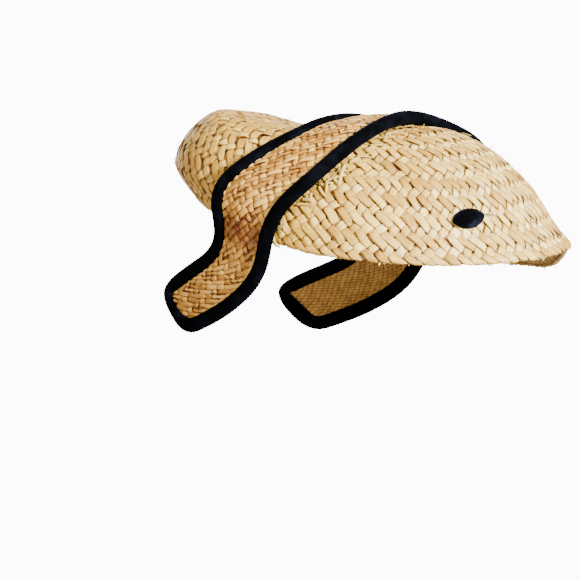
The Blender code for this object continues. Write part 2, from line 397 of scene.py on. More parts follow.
def straw_fibre_group():
    """Colour and relief of flat straw: long fibres, each float's own shade with painted light, darker
    edges partly as painted shade, painted shade in the dips and on the front of the crown.
    """
    group = node_group(
        "straw fibre",
        {
            "Pale": (0.8, 0.7, 0.5, 1),
            "Gold": (0.6, 0.42, 0.2, 1),
            "Bleached": (0.9, 0.82, 0.6, 1),
            "Stain": (0.3, 0.12, 0.03, 1),
            "Stain scale": 60.0,
            "Edge width": 0.25,
            "Front painted shade": 0.0,
        },
    )
    n = Nodes(group)
    given = n.add("NodeGroupInput").outputs
    uv = n.add("ShaderNodeUVMap", uv_map="straw").outputs[0]
    # The tint holds each float's own tone together with painted light and shade: rising floats lighter,
    # straw by the velvet darker
    tint_and_painted_light = n.attribute("straw_tint")
    # The dip value is painted shade where a straw goes under the others
    dip_shade = n.attribute("straw_dip_shade")
    mark_and_shade = n.attribute("straw_mark_and_shade")
    place = n.add("ShaderNodeTexCoord").outputs["Object"]
    fibre = n.noise(n.stretched(uv, (0.9, 7.0, 1.0)), 1.0, 3.0, 0.65)
    fine = n.noise(n.stretched(uv, (4.0, 16.0, 1.0)), 1.0, 2.0, 0.6)
    broad = n.noise(place, 32.0, 2.0)
    patch = n.noise(place, given["Stain scale"], 2.0, 0.6)
    along, aside, _ = n.split(uv)
    # Darker edges: partly the straw's own darker edge streaks, partly painted shade between the straws
    off_middle = n.maths("ABSOLUTE", n.maths("SUBTRACT", n.maths("FRACT", aside), 0.5))
    edge_from = n.maths("SUBTRACT", 0.5, given["Edge width"])
    edge = n.ramp(off_middle, edge_from, 0.5)
    fibre_shade = n.maths("MULTIPLY", n.ramp(fibre, 0.25, 0.75), 0.8)
    shade = n.maths("ADD", n.maths("MULTIPLY", tint_and_painted_light, 0.95), fibre_shade)
    shade = n.maths("ADD", shade, n.maths("MULTIPLY", n.maths("SUBTRACT", broad, 0.5), 0.6))
    base = n.mix(n.ramp(shade, 0.30, 1.25), given["Gold"], given["Pale"])
    base = n.mix(n.ramp(shade, 0.9, 1.6, 0.0, 0.85), base, given["Bleached"])
    base = n.mix(n.ramp(fine, 0.52, 0.72, 0.0, 0.7), base, given["Gold"])
    grain = n.noise(place, 850.0, 3.0, 0.65)
    base = n.mix(n.ramp(grain, 0.30, 0.46, 0.5, 0.0), base, given["Gold"])
    base = n.mix(n.ramp(grain, 0.56, 0.70, 0.0, 0.8), base, given["Pale"])
    base = n.mix(n.maths("MULTIPLY", edge, 0.55), base, given["Gold"])
    # Edges and dips darkened towards the stain colour inside stain patches and where marked: partly
    # real stain, partly painted shade
    dark = n.maths("MAXIMUM", n.maths("MULTIPLY", edge, 0.9), n.ramp(dip_shade, 0.35, 1.0, 0.0, 0.9))
    lined = n.maths("MINIMUM", mark_and_shade, EDGE_MARK)
    spread = n.maths("MAXIMUM", n.ramp(patch, 0.50, 0.66, 0.15, 1.5), n.maths("MULTIPLY", lined, 1.5))
    dark = n.maths("MULTIPLY", dark, spread, clamp=True)
    base = n.mix(dark, base, given["Stain"])
    # Painted shade: from the middle to the front the crown is made warmer and darker, so the back reads
    # as the lit side; the band has none of it
    _, backward, _ = n.split(place)
    before_back = n.ramp(backward, -0.01, 0.085, 1.0, 0.0)
    behind_front = n.ramp(backward, -0.115, -0.06, 0.3, 1.0)
    front_painted_shade = n.maths("MULTIPLY", n.maths("MULTIPLY", before_back, behind_front), given["Front painted shade"])
    base = n.mix(front_painted_shade, base, (1.0, 0.91, 0.56, 1), "MULTIPLY")
    off_crossing = n.maths("ABSOLUTE", n.maths("SUBTRACT", n.maths("FRACT", along), 0.5))
    at_corner = n.ramp(off_crossing, 0.18, 0.34, 1.0, 0.0)
    stitch = n.maths("MULTIPLY", n.ramp(off_middle, 0.14, 0.30), at_corner)
    stitch = n.maths("MULTIPLY", stitch, n.ramp(mark_and_shade, 0.55, 0.85, 0.0, 0.95))
    base = n.mix(stitch, base, given["Stain"])
    relief = n.maths("ADD", n.maths("MULTIPLY", fibre, 0.7), n.maths("MULTIPLY", fine, 0.3))
    relief = n.maths("ADD", relief, n.maths("MULTIPLY", grain, 0.6))
    n.put_out(Color=base, Roughness=n.ramp(fibre, 0.2, 0.8, 0.36, 0.58), Height=relief)
    return group


def principled(material):
    return material.node_tree.nodes["Principled BSDF"]


def new_material(name):
    material = bpy.data.materials.new(name)
    material.use_nodes = True
    return material


def patterned_material(name, group, inputs, relief, depth, specular):
    """A material that takes colour, roughness and relief from a node group."""
    material = new_material(name)
    n = Nodes(material.node_tree)
    pattern = n.add("ShaderNodeGroup", node_tree=group)
    for label, value in inputs.items():
        pattern.inputs[label].default_value = value
    shader = principled(material)
    n.feed(shader.inputs["Base Color"], pattern.outputs["Color"])
    n.feed(shader.inputs["Roughness"], pattern.outputs["Roughness"])
    n.feed(shader.inputs["Normal"], n.bump(pattern.outputs["Height"], relief, depth))
    shader.inputs["Specular IOR Level"].default_value = specular
    return material


def straw_material(name, group, pale, gold, bleached, stain, scale, front_painted_shade):
    inputs = {
        "Pale": (*pale, 1),
        "Gold": (*gold, 1),
        "Bleached": (*bleached, 1),
        "Stain": (*stain, 1),
        "Stain scale": scale,
        "Edge width": 0.18,
        "Front painted shade": front_painted_shade,
    }
    return patterned_material(name, group, inputs, relief=0.5, depth=0.0003, specular=0.45)


def straw_cloth_group():
    """Plain cloth of flat straw: straws slant both ways and cross one by one, unevenly coloured."""
    group = node_group(
        "straw cloth",
        {
            "Straw": (0.5, 0.3, 0.1, 1),
            "Gap": (0.08, 0.03, 0.01, 1),
            "Straws a metre": 330.0,
        },
    )
    n = Nodes(group)
    given = n.add("NodeGroupInput").outputs
    uv = n.add("ShaderNodeUVMap", uv_map="straw").outputs[0]
    place = n.add("ShaderNodeTexCoord").outputs["Object"]
    across, up, _ = n.split(uv)
    turns = n.maths("MULTIPLY", given["Straws a metre"], math.pi * math.sqrt(0.5))
    rising = n.maths("ADD", across, up)
    falling = n.maths("SUBTRACT", across, up)
    warp = n.maths("SINE", n.maths("MULTIPLY", rising, turns))
    weft = n.maths("SINE", n.maths("MULTIPLY", falling, turns))
    over = n.ramp(n.maths("MULTIPLY", warp, weft), -0.1, 0.1)
    over_height = n.maths("MULTIPLY", over, n.maths("POWER", n.maths("ABSOLUTE", warp), 0.5))
    under = n.maths("SUBTRACT", 1.0, over)
    under_height = n.maths("MULTIPLY", under, n.maths("POWER", n.maths("ABSOLUTE", weft), 0.5))
    cloth = n.maths("ADD", over_height, under_height)
    uneven = n.noise(place, 220.0, 3.0, 0.6)
    patches = n.ramp(uneven, 0.3, 0.7, 0.45, 1.0)
    share = n.maths("MULTIPLY", n.ramp(cloth, 0.25, 0.85, 0.1, 1.0), patches)
    shade = n.mix(share, given["Gap"], given["Straw"])
    n.put_out(Color=shade, Roughness=n.ramp(uneven, 0.3, 0.7, 0.75, 0.95), Height=cloth)
    return group


def straw_cloth_material(name, group, straw, gap):
    inputs = {"Straw": (*straw, 1), "Gap": (*gap, 1)}
    return patterned_material(name, group, inputs, relief=0.8, depth=0.0007, specular=0.15)


def velvet_pile_group():
    """Short dark pile: flecks of blue, patches of painted sheen and a fine nap."""
    group = node_group(
        "velvet pile",
        {
            "Deep": (0.002, 0.002, 0.003, 1),
            "Painted sheen": (0.012, 0.014, 0.022, 1),
            "Nap scale": 1600.0,
        },
    )
    n = Nodes(group)
    given = n.add("NodeGroupInput").outputs
    place = n.add("ShaderNodeTexCoord").outputs["Object"]
    nap = n.noise(place, given["Nap scale"], 2.0, 0.6)
    # Random patches of painted sheen: lighter, bluer pile standing in for the velvet's highlights; they
    # also raise the relief
    painted_sheen = n.noise(place, 90.0, 3.0, 0.55)
    share = n.maths("MULTIPLY", n.ramp(painted_sheen, 0.42, 0.7), n.ramp(nap, 0.35, 0.7, 0.3, 1.0))
    shade = n.mix(share, given["Deep"], given["Painted sheen"])
    relief = n.maths("ADD", nap, n.maths("MULTIPLY", painted_sheen, 0.8))
    n.put_out(Color=shade, Roughness=n.ramp(nap, 0.3, 0.7, 0.8, 0.98), Height=relief)
    return group


def velvet_material(name, group, deep, painted_sheen, sheen):
    inputs = {"Deep": (*deep, 1), "Painted sheen": (*painted_sheen, 1)}
    material = patterned_material(name, group, inputs, relief=0.6, depth=0.0003, specular=0.02)
    shader = principled(material)
    shader.inputs["Sheen Weight"].default_value = sheen
    shader.inputs["Sheen Roughness"].default_value = 0.35
    shader.inputs["Sheen Tint"].default_value = (0.35, 0.45, 0.8, 1)
    return material


def thread_material(name, pale, dark):
    """Twisted thread: slanting strands of two greys, uneven along its length."""
    material = new_material(name)
    n = Nodes(material.node_tree)
    place = n.add("ShaderNodeTexCoord").outputs["Object"]
    twist = n.add("ShaderNodeTexWave", wave_type="BANDS", bands_direction="DIAGONAL")
    n.feed(twist.inputs["Vector"], place)
    n.feed(twist.inputs["Scale"], 900.0)
    n.feed(twist.inputs["Distortion"], 1.5)
    strand = n.ramp(twist.outputs["Fac"], 0.2, 0.8)
    uneven = n.ramp(n.noise(place, 1500.0, 2.0, 0.6), 0.35, 0.65, 0.5, 1.0)
    shader = principled(material)
    n.feed(shader.inputs["Base Color"], n.mix(n.maths("MULTIPLY", strand, uneven), dark, pale))
    n.feed(shader.inputs["Normal"], n.bump(strand, 0.6, 0.0001))
    shader.inputs["Roughness"].default_value = 0.8
    return material


straw_fibre = straw_fibre_group()
crown_straw = straw_material(
    "crown straw",
    straw_fibre,
    pale=(0.80, 0.55, 0.145),
    gold=(0.42, 0.225, 0.034),
    bleached=(1.0, 0.84, 0.40),
    stain=(0.16, 0.062, 0.012),
    scale=70.0,
    front_painted_shade=1.0,
)
band_straw = straw_material(
    "band straw",
    straw_fibre,
    pale=(0.76, 0.40, 0.068),
    gold=(0.36, 0.145, 0.014),
    bleached=(0.97, 0.62, 0.16),
    stain=(0.15, 0.030, 0.003),
    scale=110.0,
    front_painted_shade=0.0,
)
straw_cloth = straw_cloth_group()
lining_cloth = straw_cloth_material(
    "lining straw cloth", straw_cloth, straw=(0.64, 0.41, 0.14), gap=(0.20, 0.09, 0.024)
)
backing_cloth = straw_cloth_material(
    "band backing", straw_cloth, straw=(0.60, 0.34, 0.095), gap=(0.17, 0.07, 0.016)
)
thread_grey = thread_material("grey thread", pale=(0.34, 0.33, 0.31, 1), dark=(0.12, 0.115, 0.11, 1))
velvet_pile = velvet_pile_group()
velvet = velvet_material(
    "black velvet",
    velvet_pile,
    deep=(0.0004, 0.0005, 0.0009),
    painted_sheen=(0.0035, 0.0046, 0.0085),
    sheen=0.012,
)
button_velvet = velvet_material(
    "button velvet",
    velvet_pile,
    deep=(0.0005, 0.0006, 0.0011),
    painted_sheen=(0.016, 0.024, 0.046),
    sheen=0.06,
)


# Straw work

# number counts straws round the crown or along the band, way is 1 for a rising and -1 for a falling
# one, and start and stop are in steps along it
Straw = namedtuple("Straw", "number way start stop")


def float_height(q, way):
    """How high a straw lies, 1 over the others and -1 under them, at steps q along it."""
    place = (q + 0.5) % 3.0
    from_turn = np.where(
        place < 2.0,
        np.minimum(place, 2.0 - place),
        -np.minimum(place - 2.0, 3.0 - place),
    )
    return -way * np.sin(np.pi / 2 * np.clip(from_turn / FLOAT_TURN, -1.0, 1.0))


def float_swell(q, way):
    """0 at the ends of a float and 1 in its middle."""
    place = (q + 0.5) % 3.0
    long_float = np.sin(np.pi * np.clip(place / 2.0, 0.0, 1.0))
    short_float = np.sin(np.pi * np.clip(place - 2.0, 0.0, 1.0))
    if way < 0:
        return np.where(place < 2.0, long_float, 0.0)
    return np.where(place >= 2.0, short_float, 0.0)


def float_number(q, way):
    """Which float of its straw a place belongs to."""
    return np.floor((q + 0.5 + (0.0 if way < 0 else 1.0)) / 3.0).astype(int)


def lay_straws(name, straws, place_on, material, thickness, across=4, per_step=5):
    """One piece of flat straws.

    place_on gives a straw's points at steps along it and sides from -1 to 1, and three shades at each:
    its tint with painted light, its painted shade where it dips under others, its mark with painted
    shade.
    """
    bm = bmesh.new()
    along, aside, shades = [], [], []
    for straw in straws:
        length = straw.stop - straw.start
        segments = max(2, round(length * per_step))
        made = bmesh.ops.create_grid(bm, x_segments=segments, y_segments=across, size=0.5)
        flat = np.array([v.co[:] for v in made["verts"]])
        q = straw.start + (flat[:, 0] + 0.5) * length
        side = flat[:, 1] * 2.0 * -straw.way
        points, *shade = place_on(straw, q, side)
        for vertex, point in zip(made["verts"], points):
            vertex.co = point
        along.append(q + straw.number * 7.0)
        aside.append(flat[:, 1] * 0.98 + 0.5 + straw.number)
        shades.append(shade)
    piece = new_piece(name, bm, material)
    mesh = piece.data
    uv = np.stack([np.concatenate(along), np.concatenate(aside)], axis=1)
    corners = np.empty(len(mesh.loops), dtype=np.int32)
    mesh.loops.foreach_get("vertex_index", corners)
    mesh.uv_layers.new(name="straw")
    mesh.uv_layers["straw"].data.foreach_set("uv", uv[corners].astype(np.float32).ravel())
    for label, values in zip(("straw_tint", "straw_dip_shade", "straw_mark_and_shade"), zip(*shades)):
        field = mesh.attributes.new(label, "FLOAT", "POINT")
        field.data.foreach_set("value", np.concatenate(values).astype(np.float32))
    wall = piece.modifiers.new("straw thickness", "SOLIDIFY")
    wall.thickness = thickness
    wall.offset = -1.0
    return piece


def crown_sheet(columns=180, rows=72, rays=150, reach=0.3):
    """The crown's outer face as the frame has it, read by rays aimed at a centre inside it."""
    tree = tree_of("crown")
    low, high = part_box("crown")
    centre = Vector((0.0, 0.0, high.z * CROWN_CENTRE_SHARE))
    lowest, highest = -math.pi / 3, math.pi / 2
    rises = [lowest + (highest - lowest) * i / rays for i in range(rays + 1)]
    meridians = []
    for column in range(columns):
        turn = 2.0 * math.pi * column / columns
        flat = Vector((math.sin(turn) * high.x, -math.cos(turn) * high.y, 0.0)).normalized()

        def outer(rise):
            way = flat * math.cos(rise) + Vector((0, 0, math.sin(rise)))
            return tree.ray_cast(centre + way * reach, -way, reach * 0.98)[0]

        first = max(i for i in range(rays) if outer(rises[i]) is None) + 1
        missed, met = rises[first - 1], rises[first]
        for _ in range(12):
            middle = (missed + met) / 2
            if outer(middle) is None:
                missed = middle
            else:
                met = middle
        line = [outer(met)] + [outer(rise) for rise in rises[first:]]
        meridians.append(along_line(line, rows))
    return Sheet(np.stack(meridians, axis=1), closed=True)


def own_random(*keys):
    """A steady random number from 0 to 1 for whole-number keys."""
    mixed = 17.0
    for key in keys:
        mixed = np.sin(mixed * 12.9898 + np.asarray(key, float) * 78.233) * 43758.5453
        mixed = mixed - np.floor(mixed)
    return mixed


def fan_marks(x, s, base):
    """How far onto the rolled front a place is, and its fans of darker stitches, both 0 to 1."""
    row = np.floor(s / 5.0)
    r = np.hypot((x + 3.0 * row) % 6.0 - 3.0, s % 5.0)
    front = np.clip((-base[:, 1] - FRONT_FROM) / FRONT_BLEND, 0.0, 1.0)
    return front, front * (0.5 + 0.5 * np.cos(2.0 * np.pi * r / 1.8))


def crown_places(sheet, ring):
    """How the straws of a ring lie on the crown."""
    velvet_tree = tree_of("band_binding")

    def place_on(straw, q, side):
        way = straw.way
        high = float_height(q, way)
        swell = float_swell(q, way)
        number = float_number(q, way)
        shade = own_random(straw.number + 200 * (way > 0), number + 31 * ring.straws)
        lean = own_random(straw.number, number, way + 5) - 0.5
        wide = CROWN_STRAW_FILL * (0.97 + 0.03 * high)
        wide = wide * (0.90 + 0.18 * own_random(straw.number, way + 3))
        wide = wide * (0.92 + 0.16 * own_random(number, straw.number, way + 4))
        pinch = 0.45 * own_random(straw.number, number, way + 8) ** 2
        wide = wide * (1.0 - pinch * (1.0 - high * high))
        middle = straw.number + way * q / 2
        base, _ = sheet.at(middle / ring.straws, (q - RIM_STEP) / (CROWN_STEPS - RIM_STEP))
        front, fans = fan_marks(2.0 * middle, q, base)
        wide = wide * (1.0 - FAN_NARROWING * fans)
        e = side * wide / 2
        wander = 0.08 * np.sin(q * 0.9 + straw.number * 2.1)
        wander = wander + 0.07 * np.sin(q * 2.3 + straw.number * 5.3)
        x = straw.number + way * (q + e) / 2 + wander
        s = q - e
        scallop = RIM_STEP + 0.30 * (own_random(straw.number, way + 9) - 0.5) + 0.16 * side * side
        past_rim = scallop - s
        turned = past_rim > 0
        s = np.where(turned, scallop + past_rim, s)
        fold = np.clip(past_rim / 0.3, 0.0, 1.0)
        fold = fold * fold * (3.0 - 2.0 * fold)
        lift = CROWN_LIFT * high * (1.0 - 0.7 * fold) - RIM_FOLD_DEPTH * fold
        lift = lift + swell * FLOAT_BULGE * (0.5 + shade)
        lift = lift - CUPPING * side * side + FLOAT_LEAN * lean * side * np.clip(high, 0.0, 1.0)
        below = np.clip((straw.start + 0.7 - q) / 0.7, 0.0, 1.0) * (ring.start > 0)
        above = np.clip((q - straw.stop + 0.7) / 0.7, 0.0, 1.0)
        lift = lift - RING_END_DIP * np.maximum(below, above)
        base, normal = sheet.at(x / ring.straws, (s - RIM_STEP) / (CROWN_STEPS - RIM_STEP))
        lift = lift * (1.0 - 0.5 * front)
        points = base + normal * (lift - CROWN_DEPTH)[:, None]
        # Painted shade where the straw goes under the others; also darker in the fold at the rim
        dip_shade = np.clip(0.5 - 0.5 * high + 0.25 * fold, 0.0, 1.0)
        # Painted light: rising floats are made lighter than falling ones, as if turned to the lamp; the
        # lightest of them take the bleached colour
        tone_and_painted_light = np.clip(0.8 * shade + (0.36 if way > 0 else 0.0), 0.0, 1.2)
        # Painted shade: dark lines along the edges of the falling floats, faint on the rising ones
        edge_shade_lines = np.sqrt(own_random(straw.number, number, way + 12)) * (EDGE_MARK if way < 0 else 0.14)
        tone_and_painted_light = tone_and_painted_light + 0.6 * front * (0.45 - tone_and_painted_light)
        # The mark holds the fans of stitches, darker straw at the rim fold and the painted shade lines
        mark_and_shade = np.maximum(fans, np.maximum(EDGE_MARK * fold, edge_shade_lines * (1.0 - 0.85 * front)))
        # Straw beside the velvet made darker: partly lint from the pile, partly painted shadow under
        # the velvet's edge
        near = np.array([velvet_tree.find_nearest(Vector(point))[3] for point in points])
        lint_and_shadow = np.clip(1.0 - near / VELVET_LINT_AND_SHADOW, 0.0, 1.0)
        mark_and_shade = np.maximum(mark_and_shade, EDGE_MARK * lint_and_shadow)
        return points, tone_and_painted_light - 0.6 * lint_and_shadow, np.maximum(dip_shade, lint_and_shadow), mark_and_shade

    return place_on


def make_crown(sheet):
    """The plaited crown, ring by ring and way by way, over a lining of plain straw cloth."""
    for ring in CROWN_RINGS:
        for way, label in ((1, "rising"), (-1, "falling")):
            piece = lay_straws(
                f"crown_{ring.name}_{label}_straws",
                [Straw(k, way, ring.start, ring.stop) for k in range(ring.straws)],
                crown_places(sheet, ring),
                crown_straw,
                CROWN_STRAW_THICKNESS,
            )
            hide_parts("crown")
    lining, area = make_cloth(
        "crown_lining",
        sheet,
        cells=(120, 36),
        sides=(0.0, 1.0),
        heights=(0.035, 1.0),
        depth=LINING_DEPTH,
        material=lining_cloth,
    )
    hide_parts("crown")


def make_cloth(name, sheet, cells, sides, heights, depth, material):
    """Thin cloth that lies depth under a sheet's face, and its area.

    sides and heights are the shares of the sheet that it covers, across and up.
    """
    columns, rows = cells
    left, right = sides
    low, high = heights
    bm = bmesh.new()
    made = bmesh.ops.create_grid(bm, x_segments=columns, y_segments=rows, size=0.5)
    flat = np.array([v.co[:] for v in made["verts"]]) + 0.5
    across = left + flat[:, 0] * (right - left)
    up = low + flat[:, 1] * (high - low)
    base, normal = sheet.at(across, up)
    for vertex, point in zip(made["verts"], base - normal * depth):
        vertex.co = point
    round_length = np.linalg.norm(np.diff(sheet.places, axis=1), axis=2).sum(axis=1).max()
    up_length = np.linalg.norm(np.diff(sheet.places, axis=0), axis=2).sum(axis=0).max()
    layer = bm.loops.layers.uv.new("straw")
    bm.verts.index_update()
    uv = np.stack([across * round_length, up * up_length], axis=1)
    for face in bm.faces:
        for loop in face.loops:
            loop[layer].uv = uv[loop.vert.index]
    if sheet.closed:
        bmesh.ops.remove_doubles(bm, verts=bm.verts, dist=0.00005)
    area = sum(face.calc_area() for face in bm.faces)
    piece = new_piece(name, bm, material)
    wall = piece.modifiers.new("cloth thickness", "SOLIDIFY")
    wall.thickness = CLOTH_THICKNESS
    wall.offset = -1.0
    return piece, area


def band_edge(section, side, name):
    """Centre line of one edge's binding at a section; side is 1 on the wearer's left."""
    x, y, z = (getattr(section, f"{name}_{axis}") for axis in "xyz")
    reach = FRONT_REACH if y < 0 else REAR_REACH
    askew = BAND_ASKEW * x * smooth_step(0.25 + z / 1.2) if side < 0 else 0.0
    return (side * x * HALF_WIDTH, y * reach + askew, z * CROWN_RISE)


def smooth_line(points, count=240, passes=40):
    """A line of points made dense and then smoothed, its ends kept."""
    keys = np.linspace(0.0, 1.0, len(points))
    wanted = np.linspace(0.0, 1.0, count)
    line = read_line(np.array(points), keys, wanted)
    for _ in range(passes):
        line[1:-1] = (line[:-2] + 2.0 * line[1:-1] + line[2:]) / 4.0
    return line


def band_sheet(stations=150, rows=15, probes=41):
    """The band's outer face as the frame has it, from the right tab over the top to the left tab."""
    tree = tree_of("band")
    sides = []
    for name in ("front", "rear"):
        right = [band_edge(section, -1, name) for section in reversed(BAND[1:])]
        left = [band_edge(section, 1, name) for section in BAND]
        sides.append(smooth_line(right + left))
    front, rear = sides
    middle = (front + rear) / 2
    lengths = reach_along(middle)
    wanted = np.linspace(0.0, lengths[-1], stations)
    front, rear, middle = (read_line(line, lengths, wanted) for line in (front, rear, middle))
    ahead = np.gradient(middle, axis=0)
    hits = np.full((stations, probes, 3), np.nan)
    for i in range(stations):
        outward = np.cross(ahead[i], rear[i] - front[i])
        outward = Vector(outward / np.linalg.norm(outward))
        for probe in range(probes):
            start = Vector(front[i]).lerp(Vector(rear[i]), probe / (probes - 1))
            hit = tree.ray_cast(start + outward * 0.03, -outward, 0.06)[0]
            if hit is not None:
                hits[i, probe] = hit
    met = ~np.isnan(hits[:, :, 0])
    counts = met.sum(axis=1)
    whole = np.flatnonzero(counts >= 0.93 * np.median(counts))
    columns = []
    for i in np.flatnonzero(counts >= probes * 0.4):
        # Near a tab's slanted end the missing probes follow the nearest whole column
        full = whole[np.abs(whole - i).argmin()]
        both = met[i] & met[full]
        shift = (hits[i][both] - hits[full][both]).mean(axis=0)
        filled = np.where(met[i][:, None], hits[i], hits[full] + shift)
        found = filled[met[i] | met[full]]
        edges = []
        for edge, inner in ((0, 4), (-1, -5)):
            away = found[edge] - found[inner]
            edges.append(found[edge] + away / np.linalg.norm(away) * BAND_UNDER_VELVET)
        columns.append(along_line(np.concatenate([edges[:1], found, edges[1:]]), rows))
    ends = []
    for edge, inner in ((0, 2), (-1, -3)):
        away = columns[edge] - columns[inner]
        away /= np.linalg.norm(away, axis=1, keepdims=True)
        ends.append(columns[edge] + away * TAB_UNDER_VELVET)
    columns = [ends[0]] + columns + [ends[1]]
    return Sheet(np.stack(columns, axis=1), closed=False, smoothing=3)


def knot_marks(x, y):
    """Knots of toasted stitches in two lanes along the band, 0 to 1, at places in metres."""
    marks = 0.0
    for lane, shift in ((-1, 0.0), (1, 0.5)):
        along = ((x / KNOT_SPACING + shift) % 1.0 - 0.5) * KNOT_SPACING
        away = np.hypot(along, y - lane * KNOT_LANE)
        marks = np.maximum(marks, np.clip(1.6 - 1.6 * away / KNOT_REACH, 0.0, 1.0))
    return marks


def make_band(sheet):
    """The plaited band: straws lie slantwise from edge to edge."""
    middle = sheet.places[sheet.places.shape[0] // 2]
    reach = reach_along(middle)
    total = reach[-1]
    shares = np.linspace(0.0, 1.0, len(middle))
    widths = np.linalg.norm(np.diff(sheet.places, axis=0), axis=2).sum(axis=0)
    pitch = BAND_STEP * 2
    waist = Vector(WAIST_PLACE)
    left = np.linalg.norm(middle - np.array(waist), axis=1)
    right = np.linalg.norm(middle - np.array((-waist.x, waist.y, waist.z)), axis=1)
    waist_left, waist_right = reach[left.argmin()], reach[right.argmin()]

    def spot(straw, q, e):
        """Metres along the band and out from its middle."""
        x = (straw.number + straw.way * (q + e) / 2) * pitch
        return x, (q - e) * BAND_STEP

    def inside(straw, q):
        x, y = spot(straw, q, 0.0)
        width = np.interp(x, reach, widths)
        return (x > 0) & (x < total) & (np.abs(y) < width / 2)

    def place_on(straw, q, side):
        way = straw.way
        high = float_height(q, way)
        swell = float_swell(q, way)
        number = float_number(q, way)
        shade = own_random(straw.number + 300 * (way > 0), number)
        wide = BAND_STRAW_FILL * (0.84 + 0.28 * own_random(straw.number, way + 3))
        pinch = 0.5 * own_random(straw.number, number, way + 8) ** 2
        wide = wide * (1.0 - pinch * (1.0 - high * high))
        knots = knot_marks(*spot(straw, q, 0.0))
        wide = wide * (1.0 - 0.32 * knots)
        e = side * wide / 2
        x, y = spot(straw, q, e)
        x = x + 0.00042 * np.sin(q * 1.1 + straw.number * 2.7)
        x = x + 0.00030 * np.sin(q * 2.6 + straw.number)
        width = np.interp(x, reach, widths)
        base, normal = sheet.at(np.interp(x, reach, shares), 0.5 + y / width)
        lean = own_random(straw.number, number, way + 5) - 0.5
        lift = BAND_LIFT * high + swell * BAND_BULGE * (0.5 + shade) - BAND_CUPPING * side * side
        lift = lift + BAND_LEAN * lean * side * np.clip(high, 0.0, 1.0)
        points = base + normal * (lift - BAND_DEPTH)[:, None]
        # Painted shade at the band's narrow waist, which turns downward away from the light
        from_waist = np.minimum(np.abs(x - waist_left), np.abs(x - waist_right)) / WAIST_LENGTH
        waist_shade = np.clip(1.6 - 1.6 * from_waist, 0.0, 1.0)
        from_edge = width / 2 - np.abs(y)
        at_velvet = np.clip(1.0 - (from_edge - BAND_EDGE_WIDTH) / BAND_EDGE_BLEND, 0.0, 1.0)
        tone_and_painted_light = np.clip(1.1 * shade - 0.6 * waist_shade + 0.5 * at_velvet, 0.0, 1.2)
        # Painted shade where the straw goes under the others, deepened at the waist
        dip_shade = np.clip(0.5 - 0.5 * high + 0.8 * waist_shade, 0.0, 1.0)
        # Painted shade: dark lines along the edges of the falling straws, faint on the rising ones
        edge_shade_lines = own_random(straw.number, number, way + 12) * (0.40 if way < 0 else 0.15)
        tone_and_painted_light = np.clip(tone_and_painted_light + 0.25 * knots, 0.0, 1.2)
        # The mark holds the toasted knots, the waist's painted shade and the edge shade lines
        return points, tone_and_painted_light, dip_shade, np.maximum(np.maximum(knots, EDGE_MARK * waist_shade), edge_shade_lines)

    most = int(total / pitch) + 20
    for way, label in ((1, "rising"), (-1, "falling")):
        straws = []
        for number in range(-20, most):
            q = np.arange(-12.0, 12.0, 0.1)
            held = q[inside(Straw(number, way, 0, 0), q)]
            if len(held) > 8:
                straws.append(Straw(number, way, held[0], held[-1]))
        piece = lay_straws(
            f"band_{label}_straws",
            straws,
            place_on,
            band_straw,
            BAND_STRAW_THICKNESS,
            across=3,
            per_step=4,
        )
        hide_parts("band")
    backing, area = make_cloth(
        "band_backing",
        sheet,
        cells=(150, 16),
        sides=(0.002, 0.998),
        heights=(0.02, 0.98),
        depth=BACKING_DEPTH,
        material=backing_cloth,
    )
    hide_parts("band")


